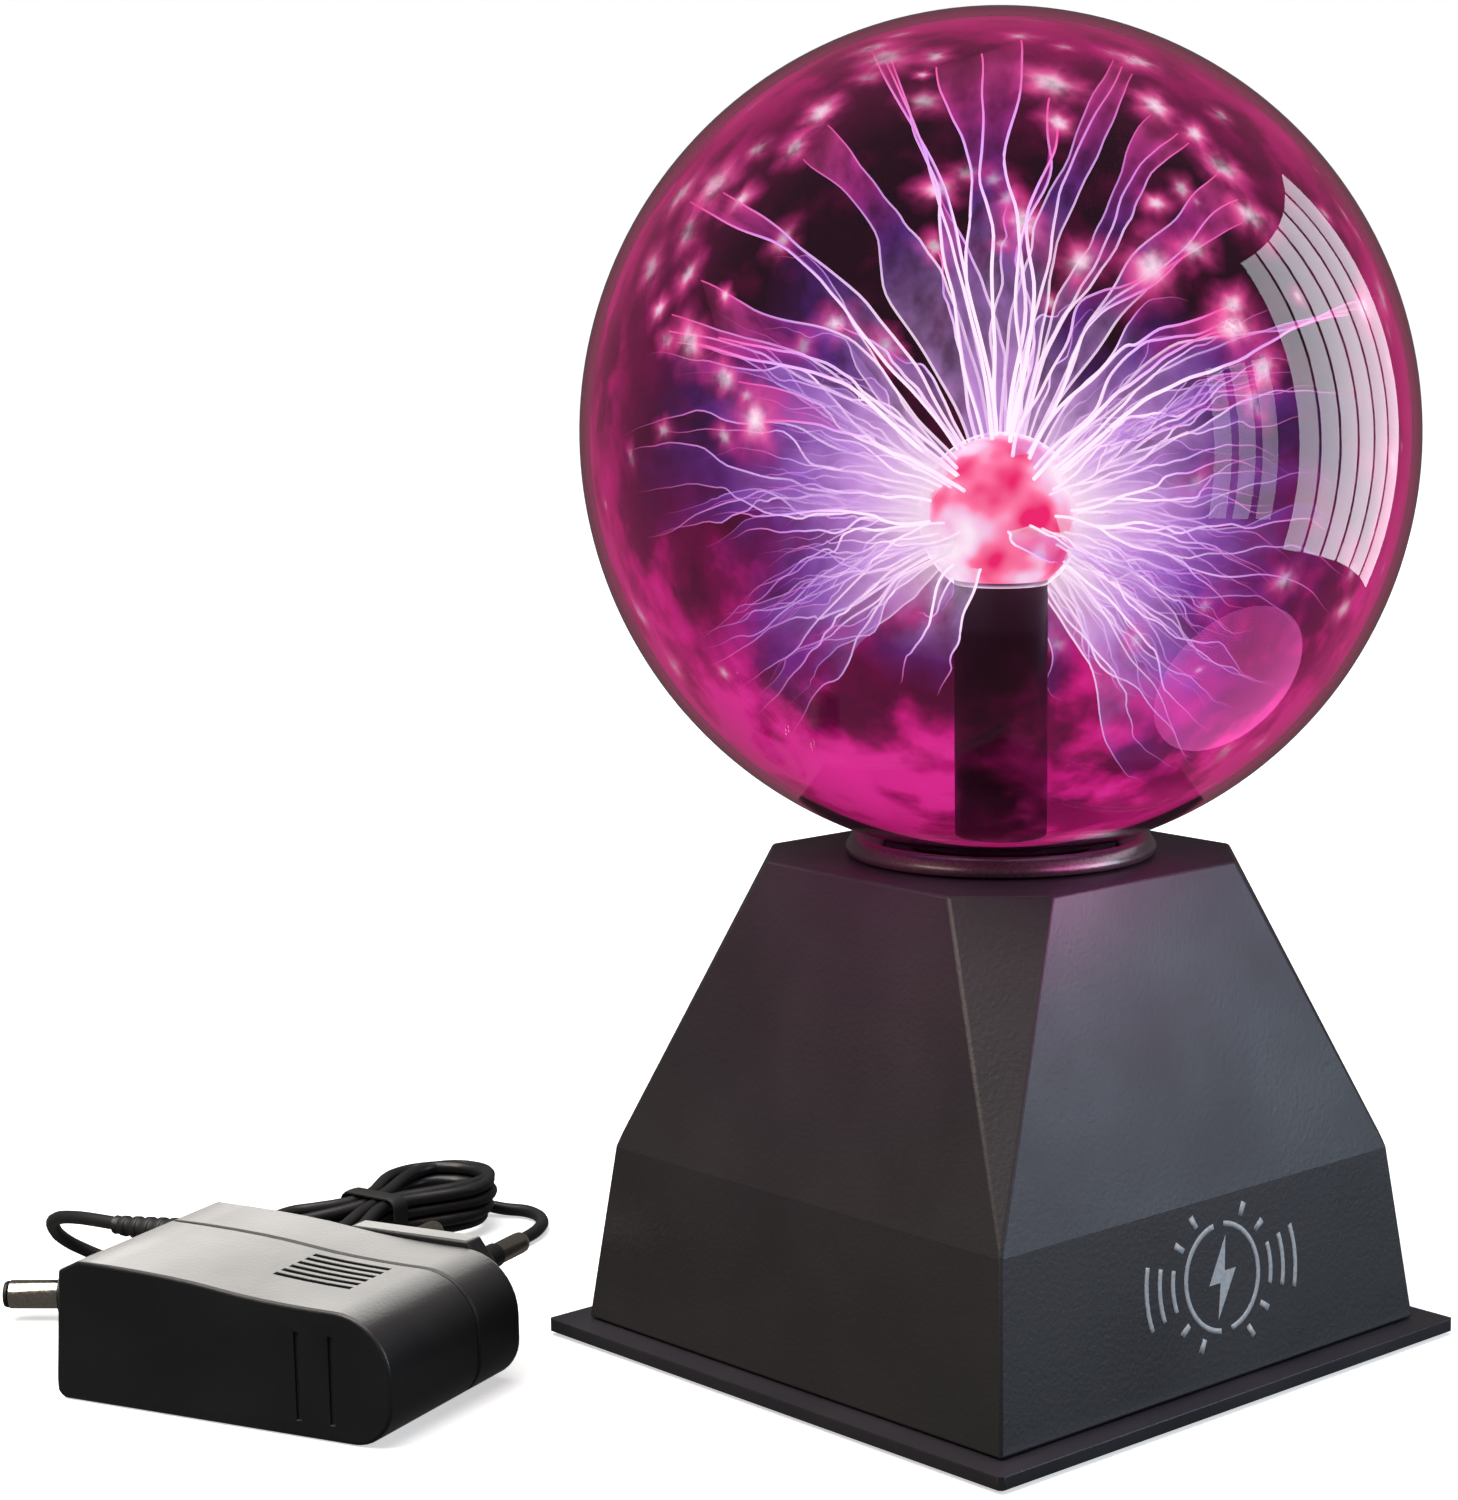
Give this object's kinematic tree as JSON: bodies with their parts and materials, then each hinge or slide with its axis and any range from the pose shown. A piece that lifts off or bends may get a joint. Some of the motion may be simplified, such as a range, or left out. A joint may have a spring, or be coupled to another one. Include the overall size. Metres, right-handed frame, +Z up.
{
  "type": "plasma ball",
  "caption": "Glass globe with a central electrode on a faceted plastic base with a rear power jack and rocker switch, and its plug-in mains adapter with a hanked lead.",
  "frame": {"origin": "middle of the base's footprint, on the table", "axes": "+Z up through the electrode and the globe's centre, -Y the front face with the emblem, +Y the rear face with the jack and switch"},
  "size_m": [0.22, 0.2287, 0.2427],
  "materials": {
    "base_plastic": "satin black, fine moulded texture",
    "plate_plastic": "satin black, smooth",
    "foot_rubber": "soft matt rubber",
    "steel": "zinc-plated",
    "globe_glass": "clear, polished",
    "electrode_glass": "clear, lit pink",
    "electrode_metal": "conductive lining",
    "sleeve_black": "black",
    "brass": "turned",
    "collar_metal": "satin gunmetal",
    "inner_plastic": "moulded",
    "board_green": "solder mask",
    "ferrite": "sintered",
    "potting": "cast resin",
    "heat_sink_aluminium": "mill finish",
    "capacitor_can": "sleeved",
    "wire_red": "smooth",
    "wire_black": "smooth",
    "fitting_plastic": "satin black",
    "rocker_plastic": "gloss black",
    "adapter_plastic": "satin black, fine grain",
    "pin_metal": "nickel-plated",
    "board_brown": "bare laminate",
    "transformer_yellow": "taped",
    "lead_plastic": "smooth flexible",
    "tie_plastic": "matt",
    "plug_plastic": "satin black",
    "barrel_metal": "nickel-plated"
  },
  "bodies": {
    "stand": {"base_housing": "base_plastic", "foot_plate": "plate_plastic", "foot_front_left": "foot_rubber", "foot_front_right": "foot_rubber", "foot_rear_left": "foot_rubber", "foot_rear_right": "foot_rubber", "base_screw_front_left": "steel", "base_screw_front_right": "steel", "base_screw_rear_left": "steel", "base_screw_rear_right": "steel", "glass_globe": "globe_glass", "electrode_glass": "electrode_glass", "electrode_core": "electrode_metal", "stem_sleeve": "sleeve_black", "electrode_rod": "steel", "contact_cap": "brass", "collar_ring": "collar_metal", "neck_gasket": "foot_rubber", "clamp_ring": "inner_plastic", "clamp_screw_1": "steel", "clamp_screw_2": "steel", "clamp_screw_3": "steel", "circuit_board": "board_green", "board_screw_1": "steel", "board_screw_2": "steel", "board_screw_3": "steel", "board_screw_4": "steel", "flyback_core": "ferrite", "flyback_winding": "potting", "heat_sink": "heat_sink_aluminium", "driver_transistor": "inner_plastic", "filter_capacitor": "capacitor_can", "high_voltage_lead": "wire_red", "power_jack": "fitting_plastic", "jack_contact_pin": "brass", "switch_body": "fitting_plastic", "supply_wire_red": "wire_red", "supply_wire_black": "wire_black"},
    "rocker": {"power_rocker": "rocker_plastic"},
    "mains_adapter": {"adapter_case": "adapter_plastic", "adapter_cover": "adapter_plastic", "plug_boss": "adapter_plastic", "mains_pin_1": "pin_metal", "mains_pin_2": "pin_metal", "pin_sleeve_1": "fitting_plastic", "pin_sleeve_2": "fitting_plastic", "adapter_board": "board_brown", "adapter_transformer": "transformer_yellow", "adapter_capacitor": "capacitor_can", "adapter_strain_relief": "lead_plastic", "lead_to_hank": "lead_plastic", "lead_hank": "lead_plastic", "hank_tie": "tie_plastic", "lead_to_plug": "lead_plastic", "plug_strain_relief": "lead_plastic", "plug_grip": "plug_plastic", "plug_barrel": "barrel_metal", "plug_insulator": "fitting_plastic"}
  },
  "joints": [
    {"name": "power_switch", "type": "hinge", "parent": "stand", "child": "rocker", "pos_m": [0.018, 0.05156, 0.01932], "axis": [1, 0, 0], "range_deg": [-24, 0]},
    {"name": "adapter_lift", "type": "slide", "parent": "stand", "child": "mains_adapter", "axis": [0, 0, 1], "range_m": [0, 0.1]}
  ]
}
